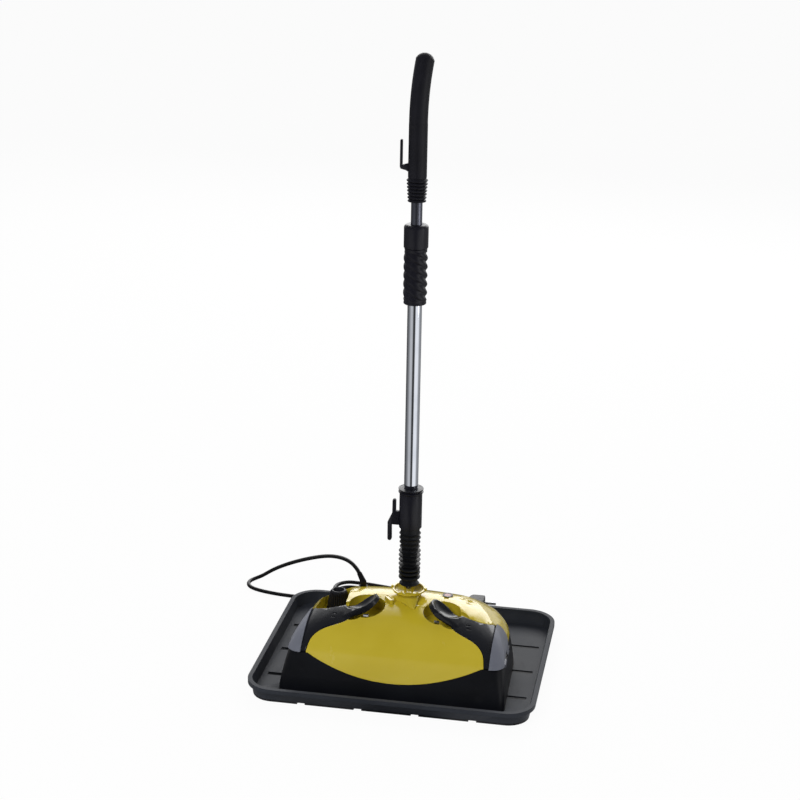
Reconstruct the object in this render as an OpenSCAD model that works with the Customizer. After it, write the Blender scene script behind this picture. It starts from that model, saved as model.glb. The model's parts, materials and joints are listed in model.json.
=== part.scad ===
/* [Tray] */
// Width of the tray over its rim
tray_w = 446; // [420:1:480]
// Depth of the tray over its rim
tray_d = 370; // [350:1:400]
// Height of the rim
tray_h = 24; // [20:1:32]
// Corner radius of the rim
tray_r = 45; // [35:1:60]
// Width of the flat flange round the rim
flange_w = 7; // [7:0.5:14]
// Thickness of the flange and of the walls
tray_wall = 2.4; // [1.8:0.1:3.5]
// Thickness of the floor
tray_floor = 4; // [3.6:0.1:6]
// Inward lean of the walls from flange to floor
tray_lean = 4; // [2:0.5:7]
// Spacing of the floor grooves
groove_pitch = 88; // [60:1:110]
// Width of a floor groove
groove_w = 9; // [6:0.5:12]
// Depth of a floor groove, and of the drain grooves below
groove_depth = 1.2; // [0.6:0.1:1.5]
// Distance of the floor grooves from the walls
groove_end = 8; // [6:1:20]
// Width of a drain notch under the front and rear edges
notch_w = 12; // [8:1:16]
// Height of a drain notch
notch_h = 2.8; // [2:0.1:3]
// How far a drain notch reaches under the edge
notch_d = 6; // [3:0.5:7]

/* [Head] */
// Width of the head at its foot
head_w = 352; // [340:1:360]
// Reach of the head in front of the origin, at its foot
head_front = 148; // [144:1:156]
// Reach of the head behind the origin, at its foot
head_rear = 108; // [104:1:118]
// Share of the head's width that is left where its rear corners begin
rear_share = 0.97; // [0.95:0.01:1]
// Radius of the head's bowed rear edge
crown_r = 400; // [350:10:600]
// Wall of the lower housing
housing_wall = 3; // [2.4:0.1:4]
// Wall of the top cover
cover_wall = 2.5; // [2:0.1:3]
// Height of the seam at the middle of the front, above the foot
seam_mid = 25; // [20:1:32]
// Height of the seam at the sides, above the foot
seam_side = 53; // [50:1:55]
// Radius of the seam's arc
seam_r = 342; // [320:1:380]
// Gap along the seam
seam_gap = 0.3; // [0.2:0.05:0.6]
// Thickness of the sole plate
sole_t = 3; // [2:0.5:4]

/* [Clamp levers] */
// Thickness of the lever shells
lever_t = 4; // [3:0.5:5]
// Gap between a lever and the channel under it
lever_gap = 1.2; // [0.8:0.1:2]
// Clearance round the edge of a lever
lever_side_gap = 1; // [0.8:0.1:1.6]
// Radius of the thumb pad
pad_r = 21; // [18:0.5:23]
// Distance of the thumb pad from the middle
pad_x = 60; // [58:0.5:63]
// Distance of the thumb pad in front of the origin
pad_y = 28; // [25:0.5:31]
// Height of the middle of the thumb pad above the foot
pad_z = 106; // [103:0.5:109]
// Thickness of the thumb pad
pad_t = 7; // [5:0.5:8]
// Tilt of the thumb pad
pad_tilt = 40; // [34:1:44]
// Depth of the dish in the thumb pad
dish_depth = 5; // [3:0.25:5.5]
// Radius of the finger pocket round the pad
pocket_r = 29.5; // [28:0.5:32]
// Height of the finger pocket's floor above the foot
pocket_h = 84; // [80:0.5:86]
// How far the clamp jaws stand out of the head
jaw_out = 2; // [1:0.5:3]
// Distance of the jaw's inner edge from the middle
jaw_x = 147; // [145:0.5:149]
// Radius of the hinge barrels
barrel_r = 4; // [3.5:0.25:4.5]
// Radius of the hinge pins
hinge_pin_r = 2; // [1.5:0.25:2.5]

/* [Filler] */
// Distance of the filler from the middle
filler_x = 118; // [114:1:120]
// Distance of the filler behind the origin
filler_y = 33; // [32:0.5:36]
// Radius of the well round the filler cap
well_r = 24; // [22.5:0.5:26]
// How far the well runs forward to the lever's channel
well_reach = 78; // [70:1:84]
// Height of the well's floor above the foot
well_z = 62; // [60:0.5:66]
// Largest radius of the filler cap
cap_r = 19.5; // [18:0.5:22]
// Radius of the cap's top
cap_top_r = 13.5; // [12:0.5:15]
// Height of the filler cap
cap_h = 33; // [28:1:38]
// Number of grip ribs on the cap
cap_ribs = 26; // [16:1:30]
// Bore radius of the filler neck
neck_bore_r = 8; // [6:0.5:9]

/* [Boiler] */
// Radius of the boiler
boiler_r = 24; // [20:0.5:25]
// Length of the boiler
boiler_l = 200; // [180:5:210]
// Distance of the first saddle from the boiler's left end
saddle_first = 55; // [40:1:80]
// Distance of the last saddle from the boiler's right end
saddle_last = 30; // [25:1:50]
// Width of a saddle along the boiler
saddle_w = 14; // [8:1:20]
// Width of a saddle across the boiler
saddle_d = 40; // [30:1:44]

/* [Neck joint] */
// Distance of the pole's axis behind the origin
pole_y = 14; // [10:1:18]
// Height of the swivel point above the foot
swivel_z = 124; // [122:1:128]
// Radius of the neck cup's rim
cup_r = 26; // [25:0.5:28]
// Wall of the cup at its rim
cup_wall = 2.6; // [2:0.1:3]
// Radius of the swivel pins
swivel_pin_r = 2; // [1.5:0.25:2.5]
// Width of the cross block between the forks
cross_w = 8; // [7:0.5:9]

/* [Pole] */
// Outer radius of the lower tube
lower_tube_r = 11; // [10:0.5:12]
// Wall of the lower tube
lower_tube_wall = 1; // [0.8:0.1:1.4]
// Height of the lower tube's top
lower_tube_top = 700; // [660:5:760]
// Outer radius of the upper tube
upper_tube_r = 8.5; // [8:0.25:8.8]
// Wall of the upper tube
upper_tube_wall = 0.9; // [0.7:0.1:1.2]
// Length of the upper tube inside the lower one
overlap = 330; // [300:5:360]
// Radius of the lower hook housing
hook_housing_r = 17.8; // [16:0.1:20]
// Height of the hook housing's foot
hook_housing_z = 228; // [225:1:240]
// Length of the hook housing
hook_housing_l = 65; // [55:1:75]
// Width of the lower hook
hook_w = 6.6; // [5:0.2:8]

/* [Bellows boot] */
// Radius of the boot's core at its top
boot_top_r = 15; // [14:0.5:16]
// Radius of the boot's core at its foot
boot_foot_r = 10.8; // [10.5:0.1:12]
// Radius of the boot's fins
fin_r = 17.5; // [16:0.25:17.75]
// Spacing of the fins
fin_pitch = 7.4; // [7:0.1:8.5]
// Thickness of a fin
fin_t = 1.6; // [1.2:0.1:2.4]
// Number of thin fins
fin_count = 9; // [6:1:10]

/* [Twist lock] */
// Length of the ribbed grip sleeve
lock_grip_l = 87; // [70:1:95]
// Radius of the grip sleeve between its ribs
lock_grip_r = 15.4; // [15:0.2:17]
// Radius of the ribs
lock_rib_r = 17.4; // [17:0.2:18.4]
// Number of ribs on the grip sleeve
lock_ribs = 6; // [5:1:9]
// Height of the plain ring at either end of the grip sleeve
lock_ring = 3.5; // [2:0.5:6]
// Radius of the smooth collar
collar_r = 18.5; // [18:0.25:20]
// Length of the smooth collar
collar_l = 35; // [32:1:45]
// How far the collar stands above the lower tube
collar_over = 14.3; // [12:0.1:18]

/* [Handle] */
// How much of the upper tube shows between the collar and the ferrule
tube_shown = 34.7; // [31:0.1:60]
// Length of the ferrule
ferrule_l = 36; // [30:1:42]
// Number of fins on the ferrule
ferrule_fins = 7; // [5:1:8]
// Radius of the hand grip
grip_r = 14; // [13:0.25:16]
// Length of the straight part of the grip
grip_straight = 80; // [70:1:95]
// Radius of the bend of the grip
bend_r = 220; // [180:5:280]
// Angle of the bend of the grip
bend_angle = 24; // [15:1:30]
// Direction of the bend, from +X towards +Y
bend_turn = 75; // [60:1:90]

/* [Cord] */
// Radius of the cord
cord_r = 3.2; // [2.8:0.1:3.8]
// Length of the tied hank
hank_l = 166; // [150:1:180]
// Width of the tied hank
hank_w = 71.2; // [64:0.4:76]
// Height of the tied hank
hank_h = 26.1; // [20:0.1:28]
// Width of the wound side of the hank, three turns of cord
hank_side = 19.5; // [13:0.5:22]

/* [Hidden] */
$fn = 48;
e = 0.01;
big = 600;
foot = tray_floor;                 // the head stands on the tray's floor
run = 0.05;                        // running clearance of a pin or tube in its bore
gap = 0.3;                         // clearance between pieces that don't touch

// Stations of the head, from its foot up: height, then how far the side, the front and the rear
// have drawn in, then the front and rear corner radii.
STATIONS = [
    [0, 0, 0, 0, 12, 75],
    [23, 2.5, 9, 3, 14, 75],
    [53, 8, 33, 9, 18, 75],
    [66, 13, 47, 14, 22, 74],
    [79, 21.5, 63, 23, 28, 72],
    [89, 32, 79, 36, 32, 70],
    [97, 45, 98, 49, 34, 60],
    [101, 56, 115, 58, 28, 46],
    [105, 77, 143, 71, 14, 24],
    [107, 106, 158, 81, 6, 8]
];
cover_top = foot + 107;

// Centre lines of the free cord, from the gland's end to the tied hank, and of its tail from the hank to the plug.
CORD = [[-88, 50, 124], [-95, 56, 131], [-110, 69, 136], [-132, 88, 132], [-157, 111, 121], [-188, 142, 101],
        [-219, 173, 79], [-250, 204, 55], [-280, 234, 29], [-298, 250, 11], [-312, 250, 4], [-321, 236, 3.4],
        [-316, 217, 3.4], [-298, 205, 3.4], [-265, 196, 3.4], [-225, 192, 3.4], [-175, 191.2, 3.4], [-131, 191.2, 3.4]];
TAIL = [[-50, 191.2, 22.9], [-22, 191.4, 22.6], [2, 194, 19.6], [24, 200, 15.2], [40, 204.6, 13.2], [54, 206, 13]];

// Points on an arc of radius r about c, from angle a to angle b.
function arc(c, r, a, b, n = 10) = [for (i = [0:n]) c + r * [cos(a + (b - a) * i / n), sin(a + (b - a) * i / n)]];

// Plan outline of one station, drawn in by d: front corners, leaning sides, rear corners and a bowed rear edge.
function station_outline(s, d) =
    let (w = head_w / 2 - s[1] - d, rf = max(s[4] - d, 3), rb = max(s[5] - d, 3),
         front = [w - rf, s[2] + d + rf - head_front],
         bow = [0, head_rear - s[3] - d - crown_r],
         rear_x = rear_share * w - rb,
         rear = [rear_x, bow[1] + sqrt(pow(crown_r - rb, 2) - rear_x * rear_x)],
         way = rear - front,
         lean = atan2(way[1], way[0]) - acos((rf - rb) / norm(way)),
         turn = atan2(rear[1] - bow[1], rear_x))
    concat(arc(front, rf, -90, lean, 6), arc(rear, rb, lean, turn, 6), arc(bow, crown_r, turn, 180 - turn, 6),
           arc([-rear[0], rear[1]], rb, 180 - turn, 180 - lean, 6), arc([-front[0], front[1]], rf, 180 - lean, 270, 6));

// Catmull-Rom curve through the points of p, n steps to a span.
function cr(a, b, c, d, t) =
    0.5 * (2 * b + (c - a) * t + (2 * a - 5 * b + 4 * c - d) * t * t + (3 * b - a - 3 * c + d) * t * t * t);
function curve(p, n) = concat([for (i = [0:len(p) - 2], k = [0:n - 1])
    cr(p[max(i - 1, 0)], p[i], p[i + 1], p[min(i + 2, len(p) - 1)], k / n)], [p[len(p) - 1]]);

module rounded_plate(w, d, r) {
    square([w - 2 * r, d], center = true);
    square([w, d - 2 * r], center = true);
    for (x = [-1, 1], y = [-1, 1]) translate([x * (w / 2 - r), y * (d / 2 - r)]) circle(r);
}

module slab(w, d, r, z, h) {
    translate([0, 0, z]) linear_extrude(h) rounded_plate(w, d, r);
}

// The whole head as one convex form, drawn in by d all over.
module head_form(d) {
    hull() for (s = STATIONS) translate([0, 0, foot + s[0] - d]) linear_extrude(e) polygon(station_outline(s, d));
}

// What lies above the seam between lower housing and cover, raised by d.
module above_seam(d) {
    translate([0, big / 2, foot + seam_mid + seam_r + d]) rotate([90, 0, 0]) cylinder(r = seam_r, h = big, $fn = 128);
    translate([-big / 2, -big / 2, foot + seam_side + d]) cube([big, big, big]);
}

// ---- Tray ----
tray_in_w = tray_w - 2 * flange_w;
tray_in_d = tray_d - 2 * flange_w;
lip_h = 7;

module tray() {
    color("#2b2e33") difference() {
        union() {
            hull() {
                slab(tray_in_w + 2 * tray_wall - 2 * tray_lean, tray_in_d + 2 * tray_wall - 2 * tray_lean,
                     tray_r - flange_w - tray_lean, 0, e);
                slab(tray_in_w + 2 * tray_wall, tray_in_d + 2 * tray_wall, tray_r - flange_w + tray_wall,
                     tray_h - tray_wall, e);
            }
            difference() {
                slab(tray_w, tray_d, tray_r, tray_h - lip_h, lip_h);
                slab(tray_w - 2 * tray_wall, tray_d - 2 * tray_wall, tray_r - tray_wall,
                     tray_h - lip_h - 1, lip_h - tray_wall + 1);
            }
        }
        hull() {
            slab(tray_in_w - 2 * tray_lean, tray_in_d - 2 * tray_lean,
                 tray_r - flange_w - tray_lean - tray_wall, tray_floor, e);
            slab(tray_in_w, tray_in_d, tray_r - flange_w, tray_h + e, e);
        }
        floor_grooves(tray_floor - groove_depth, groove_depth + 1, tray_in_d - 2 * (tray_lean + groove_end), groove_w);
        for (i = [-1:1]) translate([0, i * groove_pitch - 5, tray_floor - groove_depth / 2 + 1])
            cube([tray_in_w - 2 * (tray_lean + groove_end), groove_w, groove_depth + 2], center = true);
        for (s = [-1, 1]) translate([0, s * (tray_in_d / 2 + tray_wall - tray_lean), 0])
            floor_grooves(-1, notch_h + 1, 2 * notch_d, notch_w);
    }
}

// Grooves that run from front to rear.
module floor_grooves(z, h, length, w) {
    for (i = [-1.5:1:1.5]) translate([i * groove_pitch, 0, z + h / 2]) cube([w, length, h], center = true);
}

// ---- Head shells ----
// Plan outline of the right lever's blade, from the pad round by the front edge.
BLADE = concat(
    curve([[pad_x + 20, -pad_y - 31], [88, -67], [100, -73], [116, -80], [128, -88], [136, -98], [139.5, -112]], 3),
    [[139.5, -130], [jaw_x, -130], [jaw_x, -26]],
    curve([[137, -38], [122, -42], [106, -39], [93, -33], [pad_x + 24, -pad_y]], 3));
// Plan outline of the right clamp jaw.
JAW = [[jaw_x, -130], [185, -130], [185, -13], [jaw_x + 3, -13], [jaw_x, -18]];
// Side outline of a clamp jaw, above the foot: its claw at the front, the waist over the hinge, the heel and the tip.
JAW_SIDE = concat([[-130, 54.4], [-101, 54.4]],
    curve([[-97, 56], [-92, 60], [-70, 60.5], [-40, 58.5], [-24, 61], [-17, 70], [-20, 82], [-28, 92]], 3), [[-130, 92]]);
hinge_x = head_w / 2 - 11;
hinge_z = foot + 50;
// Ends of the hinge's barrels, from front to rear; the ears fill what lies between.
BARRELS = [[-91, -70], [-52, -31]];
hinge_front = -97;
hinge_rear = -25;
lift_room = 5;                     // the lever swings outward by this before it leaves its channel

module both_sides() {
    children();
    mirror([1, 0, 0]) children();
}

module lever_plan() {
    translate([pad_x, -pad_y]) circle(pad_r);
    translate([pad_x + 20, -pad_y - 15]) circle(throat_r);
    polygon(BLADE);
}
throat_r = 20;                     // room under the lever's throat, between pad and blade

module channel_plan(extra) {
    offset(delta = lever_side_gap + extra) for (s = [0, lift_room]) translate([s, 0]) {
        lever_plan();
        polygon(JAW);
    }
}

pocket_z = foot + pocket_h;
cap_foot = foot + well_z + 0.5;

module column(x, y, r, z, h = big) {
    translate([x, y, z]) cylinder(r = r, h = h);
}

// What the levers, their finger pockets and the filler well take out of the cover;
// grown by one wall thickness it is the solid that keeps them closed from inside.
module recesses(d) {
    both_sides() {
        difference() {
            translate([0, 0, foot]) linear_extrude(big) channel_plan(d);
            head_form(lever_t + lever_gap + d);
        }
        column(pad_x, -pad_y, pocket_r + d, pocket_z - d);
        column(pad_x + 20, -pad_y - 15, throat_r + d, pocket_z - d);
    }
    translate([-filler_x, filler_y, foot + well_z - d]) linear_extrude(big) offset(delta = d) {
        circle(well_r);
        translate([-well_r, -well_reach]) square([2 * well_r, well_reach]);
    }
}

module top_cover() {
    color("#cdb84e") difference() {
        intersection() {
            head_form(0);
            above_seam(seam_gap);
        }
        recesses(0);
        difference() {
            head_form(cover_wall);
            recesses(cover_wall);
        }
        column(0, pole_y, cup_seat_r + gap, foot + 80);
        column(-filler_x, filler_y, neck_r + gap, foot + 40);
        column(lamp_x, lamp_y, lamp_r + gap, foot + 80);
        column(lamp_x, lamp_y, bezel_r + gap, lamp_seat);
        column(-gland_x, gland_y, gland_r + gap, foot + 80);
        column(-gland_x, gland_y, gland_r + 2.4 + gap, gland_seat);
        neck_spur(gap);
        latch_block(gap, foot + 80, 60);
    }
}

module lower_housing() {
    color("#202329") {
        difference() {
            head_form(0);
            difference() {
                head_form(housing_wall);
                both_sides() translate([hinge_x - 13, hinge_front, hinge_z - 9])
                    cube([30, hinge_rear - hinge_front, 30]);
                for (p = SOLE_SCREWS) screw_boss(p);
            }
            above_seam(0);
            translate([0, 0, foot - 1]) linear_extrude(1 + sole_t) sole_plan(gap);
            both_sides() {
                for (b = BARRELS) hinge_barrel(b[0] - gap, b[1] + gap, barrel_r + gap + 0.2);
                hinge_barrel(hinge_front - 1, hinge_rear + 1, hinge_pin_r + run);
            }
            for (p = SOLE_SCREWS) column(p[0], p[1], screw_r, foot, 12);
            both_sides() for (i = [0:2]) translate([head_w / 2 - 8 - 7 * i, -head_front - 2, foot + 9])
                rotate([-17, 0, 0]) translate([-0.8, 0, 0]) cube([1.6, 3, 30]);
        }
        both_sides() difference() {
            for (r = EARS) hinge_barrel(r[0], r[1], barrel_r);
            hinge_barrel(hinge_front - 1, hinge_rear + 1, hinge_pin_r + run);
        }
    }
}
EARS = [[hinge_front, BARRELS[0][0] - gap], [BARRELS[0][1] + gap, BARRELS[1][0] - gap],
        [BARRELS[1][1] + gap, hinge_rear]];

module hinge_barrel(y0, y1, r) {
    translate([hinge_x, y1, hinge_z]) rotate([90, 0, 0]) cylinder(r = r, h = y1 - y0);
}

// A boss for a sole screw, with a web to the front or rear wall.
module screw_boss(p) {
    column(p[0], p[1], 5, foot + sole_t, 14);
    translate([p[0] - 1.5, p[1] < 0 ? -head_front : p[1], foot + sole_t])
        cube([3, p[1] < 0 ? head_front + p[1] : head_rear - p[1], 14]);
}

// ---- Sole plate ----
SOLE_SCREWS = [[-150, -110], [150, -110], [-120, 78], [120, 78], [0, -118]];
screw_r = 1.5;

module sole_plan(d) {
    offset(delta = d) polygon(station_outline(STATIONS[0], housing_wall + 1.5));
}

module sole_plate() {
    color("#8d9094") difference() {
        translate([0, 0, foot]) linear_extrude(sole_t) sole_plan(0);
        for (x = [-120:40:120], y = [-90, -20, 50]) column(x, y, 1.5, foot - 1, sole_t + 2);
        for (p = SOLE_SCREWS) {
            column(p[0], p[1], screw_r + 0.2, foot - 1, sole_t + 2);
            column(p[0], p[1], 3.2, foot - 1, 2.4);
        }
    }
}

module sole_screws() {
    color("silver") for (p = SOLE_SCREWS) {
        column(p[0], p[1], screw_r - run, foot + 0.4, 11);
        column(p[0], p[1], 3, foot + 0.2, 1.2);
    }
}

// ---- Clamp levers and jaws ----
module lever_right() {
    color("#26282e") difference() {
        union() {
            intersection() {
                difference() {
                    head_form(0);
                    head_form(lever_t);
                }
                translate([0, 0, foot + seam_side + 1.4]) linear_extrude(big) polygon(BLADE);
            }
            hull() {
                on_pad() translate([0, 0, -pad_t]) cylinder(r = pad_r, h = pad_t);
                for (p = SHOULDERS) translate(p) sphere(r = shoulder_r, $fn = 24);
            }
        }
        for (s = [0, 7]) translate([102 + s * 0.3, -55 - s, foot + 80]) cube([7, 2.4, 40]);
        on_pad() translate([0, 0, dish_r - dish_depth]) sphere(r = dish_r, $fn = 96);
    }
}
// Where the thick throat between pad and blade ends in the blade.
SHOULDERS = [[pad_x + 29, -pad_y - 9, foot + 96.5], [pad_x + 27, -pad_y - 26, foot + 91.5]];
shoulder_r = 5;
dish_r = 30;

// The frame of the pad's face.
module on_pad() {
    translate([pad_x, -pad_y, foot + pad_z]) rotate([0, pad_tilt, 0]) children();
}

module lever_left() {
    mirror([1, 0, 0]) lever_right();
}

module jaw_right() {
    color("#8f9297") {
        intersection() {
            difference() {
                head_form(-jaw_out);
                head_form(lever_t);
            }
            translate([0, 0, foot]) linear_extrude(big) polygon(JAW);
            translate([0, 0, foot]) rotate([90, 0, 90]) linear_extrude(big) polygon(JAW_SIDE);
        }
        difference() {
            for (b = BARRELS) {
                hinge_barrel(b[0], b[1], barrel_r);
                translate([hinge_x - 3, b[0], hinge_z + 1]) cube([4, b[1] - b[0], barrel_r + 7]);
            }
            hinge_barrel(hinge_front, hinge_rear, hinge_pin_r + run);
        }
    }
}

module jaw_left() {
    mirror([1, 0, 0]) jaw_right();
}

module hinge_pin_right() {
    color("silver") hinge_barrel(hinge_front + 0.5, hinge_rear - 0.5, hinge_pin_r);
}

module hinge_pin_left() {
    mirror([1, 0, 0]) hinge_pin_right();
}

// A sprung steel hook that stands in the pocket in front of the pad.
module catch_right() {
    color("#c8cbd0") translate([pad_x - 8, -pad_y - 27.5, pocket_z]) {
        cube([8, 6, 1.2]);
        cube([8, 1.2, 14]);
        translate([0, 0, 12.8]) cube([8, 3.6, 1.2]);
    }
}

module catch_left() {
    mirror([1, 0, 0]) catch_right();
}

// ---- Filler ----
neck_r = neck_bore_r + 3;
neck_top = foot + 69;

module filler_neck() {
    color("#b08d45") difference() {
        union() {
            column(-filler_x, filler_y, neck_r, boiler_z + boiler_r - 2, neck_top - boiler_z - boiler_r + 2);
            column(-filler_x, filler_y, neck_r + 4, boiler_z + boiler_r - 2, 3);
        }
        column(-filler_x, filler_y, neck_bore_r, boiler_z);
        boiler_barrel(boiler_r);
    }
}

module cap_plug() {
    color("#b08d45") {
        column(-filler_x, filler_y, neck_bore_r - run, neck_top - 9, 11.5);
        column(-filler_x, filler_y, neck_r - 0.5, neck_top + 2.1, 2.4);
    }
}

module cap_seal() {
    color("#33302d") difference() {
        column(-filler_x, filler_y, neck_r - 1, neck_top + 0.1, 2);
        column(-filler_x, filler_y, neck_bore_r - run, neck_top - 1);
    }
}

module cap_knob() {
    lean = atan((cap_r - cap_top_r) / cap_h);
    color("#22242a") translate([-filler_x, filler_y, cap_foot]) difference() {
        union() {
            rotate_extrude() polygon([[0, 0], [cap_r - 1.4, 0], [cap_r - 1.4, 4], [cap_top_r - 1, cap_h - 2],
                                      [cap_top_r - 2.4, cap_h], [0, cap_h]]);
            for (i = [1:cap_ribs]) rotate(i * 360 / cap_ribs) translate([cap_r - 2.2, -0.9, 0.6])
                rotate([0, -lean, 0]) cube([2, 1.8, cap_h - 2]);
        }
        translate([0, 0, -1]) cylinder(r = neck_r + 1, h = neck_top - cap_foot + 5.8);
        translate([0, 0, cap_h - 7]) cylinder(r = 8.5, h = 10);
    }
}

// ---- Boiler and what goes with it ----
boiler_z = foot + sole_t + 3 + boiler_r;
boiler_left = -filler_x - 22;

module boiler_barrel(r) {
    translate([boiler_left + 6, filler_y, boiler_z]) rotate([0, 90, 0]) cylinder(r = r, h = boiler_l - 12);
}

module boiler() {
    color("#a9adb2") difference() {
        union() {
            boiler_barrel(boiler_r);
            translate([boiler_left, filler_y, boiler_z]) rotate([0, 90, 0]) cylinder(r = boiler_r - 6, h = boiler_l);
            translate([boiler_left + boiler_l / 2, filler_y, boiler_z]) rotate([0, 90, 0])
                cylinder(r = boiler_r + 1.5, h = 4);
        }
        translate([boiler_left + 8, filler_y, boiler_z]) rotate([0, 90, 0])
            cylinder(r = boiler_r - 2, h = boiler_l - 16);
        column(-filler_x, filler_y, neck_bore_r, boiler_z);
    }
}

module boiler_saddles() {
    color("#55585c") for (x = [boiler_left + saddle_first, boiler_left + boiler_l - saddle_last]) difference() {
        translate([x, filler_y - saddle_d / 2, foot + sole_t]) cube([saddle_w, saddle_d, boiler_z - foot - sole_t - 8]);
        boiler_barrel(boiler_r);
    }
}

// A U-shaped element bedded along the inside of the boiler's lower wall.
module heating_element() {
    color("#4a4642") translate([boiler_left + 14, filler_y, boiler_z - boiler_r + 5.2]) {
        for (y = [-8, 8]) translate([0, y, 2]) rotate([0, 90, 0]) cylinder(r = 3, h = boiler_l - 50);
        translate([boiler_l - 50, 0, 2]) rotate([0, 0, -90]) rotate_extrude(angle = 180) translate([8, 0]) circle(3);
    }
}

module thermostat() {
    color("#e3dccb") translate([boiler_left + boiler_l + e, filler_y, boiler_z]) rotate([0, 90, 0]) {
        cylinder(r = 8, h = 7);
        for (y = [-3.5, 3.5]) translate([-1, y - 0.5, 6]) cube([3, 1, 8]);
    }
}

module thermal_fuse() {
    color("#d8d8d4") translate([boiler_left + boiler_l + e, filler_y - 13, boiler_z - 4]) rotate([0, 90, 0]) cylinder(r = 2.2, h = 12);
}

module terminal_block() {
    color("#ece7dc") translate([88, 26, foot + sole_t]) difference() {
        cube([32, 20, 14]);
        for (i = [0:2]) translate([6 + 10 * i, 10, 5]) cylinder(r = 2.2, h = 20);
    }
}

// Steam leaves the middle of the boiler for the sole plate.
module steam_pipe() {
    color("#c9a25c") translate([boiler_left + 88, filler_y - boiler_r - 8, foot + sole_t]) {
        cylinder(r = 3, h = boiler_z - foot - sole_t);
        translate([0, 0, boiler_z - foot - sole_t]) sphere(r = 3.4);
        translate([0, 0, boiler_z - foot - sole_t]) rotate([-90, 0, 0]) cylinder(r = 3, h = 7.9);
        cylinder(r = 6, h = 3);
    }
}

// ---- Pilot lamp and cord gland ----
lamp_x = 61;
lamp_y = 24;
lamp_r = 7;
bezel_r = lamp_r + 1.2;
lamp_seat = cover_top - 0.8;

module pilot_lamp() {
    color("#c9552e", 0.8) translate([lamp_x, lamp_y, lamp_seat]) {
        translate([0, 0, -10]) cylinder(r = lamp_r - 1.8, h = 11.4);
    }
}

module lamp_bezel() {
    color("#2a2c31") translate([lamp_x, lamp_y, lamp_seat]) difference() {
        union() {
            translate([0, 0, -6]) cylinder(r = lamp_r, h = 7.2);
            cylinder(r = bezel_r, h = 1.6);
        }
        translate([0, 0, -11]) cylinder(r = lamp_r - 1.8 + run, h = 20);
    }
}

gland_x = 80;
gland_y = 45;
gland_r = 5;
gland_seat = cover_top - 8.5;
gland_end = CORD[0];

module cord_gland() {
    knee = [-gland_x, gland_y, gland_seat + 9];
    way = gland_end - knee;
    color("#17181c") {
        translate([-gland_x, gland_y, gland_seat - 6]) cylinder(r = gland_r, h = 15);
        translate([-gland_x, gland_y, gland_seat]) cylinder(r = gland_r + 2.4, h = 2.2);
        translate(knee) sphere(r = gland_r);
        translate(knee) rotate([0, acos(way[2] / norm(way)), atan2(way[1], way[0])])
            cylinder(r1 = gland_r - 0.1, r2 = cord_r + 0.7, h = norm(way));
    }
}

// ---- Neck joint ----
cup_seat_r = 15;
cup_rim = foot + 119;
cup_floor = foot + 109;
pole_axis = [0, pole_y, 0];
swivel = [0, pole_y, foot + swivel_z];
fork_r = 8;
ear_t = 3.4;
ear_waist = 5.6;                   // an ear is slimmer below its eye, so that the forks clear each other

module on_pole() {
    translate(pole_axis) children();
}

// The cup that the boot dips into, with the fixed fork of the swivel on its floor.
module neck_cup() {
    color("#c4ae48") {
        on_pole() rotate_extrude($fn = 96) polygon([
            [0, cover_top - 10], [cup_seat_r, cover_top - 10], [cup_seat_r, cover_top + 0.4], [cup_seat_r + 4, cover_top + 1],
            [cup_r - 3, cup_rim - 5], [cup_r, cup_rim - 3], [cup_r, cup_rim], [cup_r - cup_wall, cup_rim],
            [cup_r - cup_wall - 0.5, cup_rim - 4], [cup_seat_r, cup_floor], [0, cup_floor]]);
        for (s = [-1, 1]) translate([s * (cup_r + 0.5), pole_y, cup_rim - 3]) cylinder(r = 2.4, h = 5);
        neck_spur(0);
        difference() {
            union() {
                on_pole() translate([0, 0, cup_floor - 1]) cylinder(r = fork_r, h = 3);
                for (s = [-1, 1]) fork_ear(s, -swivel_z + 111, 0);
            }
            pin_bore(0);
        }
    }
}

// The spur that runs forward from the cup down to the crease of the cover, let into it; grown by d.
module neck_spur(d) {
    hull() {
        translate([-20, pole_y - 14, cover_top - 3.5 - d]) cylinder(r = 2 + d, h = 4 + d, $fn = 24);
        translate([15, -26, cover_top - 8 - d]) cylinder(r = 2 + d, h = 4 + d, $fn = 24);
        translate([17, pole_y - 4, cover_top - 3.5 - d]) cylinder(r = 2 + d, h = 10 + d, $fn = 24);
        translate([0, pole_y - 8, cover_top - 3.5 - d]) cylinder(r = 5 + d, h = 10 + d, $fn = 24);
    }
}

// One ear of a fork, on the +X or -X side, from height z0 below the swivel point to its round top.
module fork_ear(s, z0, turn) {
    translate(swivel) rotate(turn) {
        translate([s * (cross_w / 2 + gap + ear_t / 2), 0, 0]) {
            rotate([0, 90, 0]) cylinder(r = 4, h = ear_t, center = true);
            translate([-ear_t / 2, -ear_waist / 2, min(z0, 0)]) cube([ear_t, ear_waist, abs(z0)]);
        }
    }
}

module pin_bore(turn) {
    translate(swivel) rotate(turn) rotate([0, 90, 0]) cylinder(r = swivel_pin_r + run, h = 40, center = true);
}

module swivel_cross() {
    color("#9a9ea4") translate(swivel) {
        cube(cross_w, center = true);
        for (t = [0, 90]) rotate(t) rotate([0, 90, 0])
            cylinder(r = swivel_pin_r, h = cross_w + 2 * gap + 2 * ear_t - 0.2, center = true);
    }
}

fork_disc = foot + swivel_z + 10;

module pole_fork() {
    color("#30333a") {
        difference() {
            for (s = [-1, 1]) fork_ear(s, 11, 90);
            pin_bore(90);
        }
        on_pole() translate([0, 0, fork_disc]) cylinder(r = fork_r, h = 5);
        on_pole() translate([0, 0, fork_disc + 4]) cylinder(r = 7, h = hook_housing_z - fork_disc + 8);
    }
}

// ---- Bellows boot ----
boot_foot = foot + swivel_z + 3;
first_fin = boot_foot + 31;
boot_bore_r = fork_r + 1.4;

function boot_core(z) =
    z < boot_foot + 40 ? boot_foot_r : min(boot_top_r, boot_foot_r + (z - boot_foot - 40) * 0.115);

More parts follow.
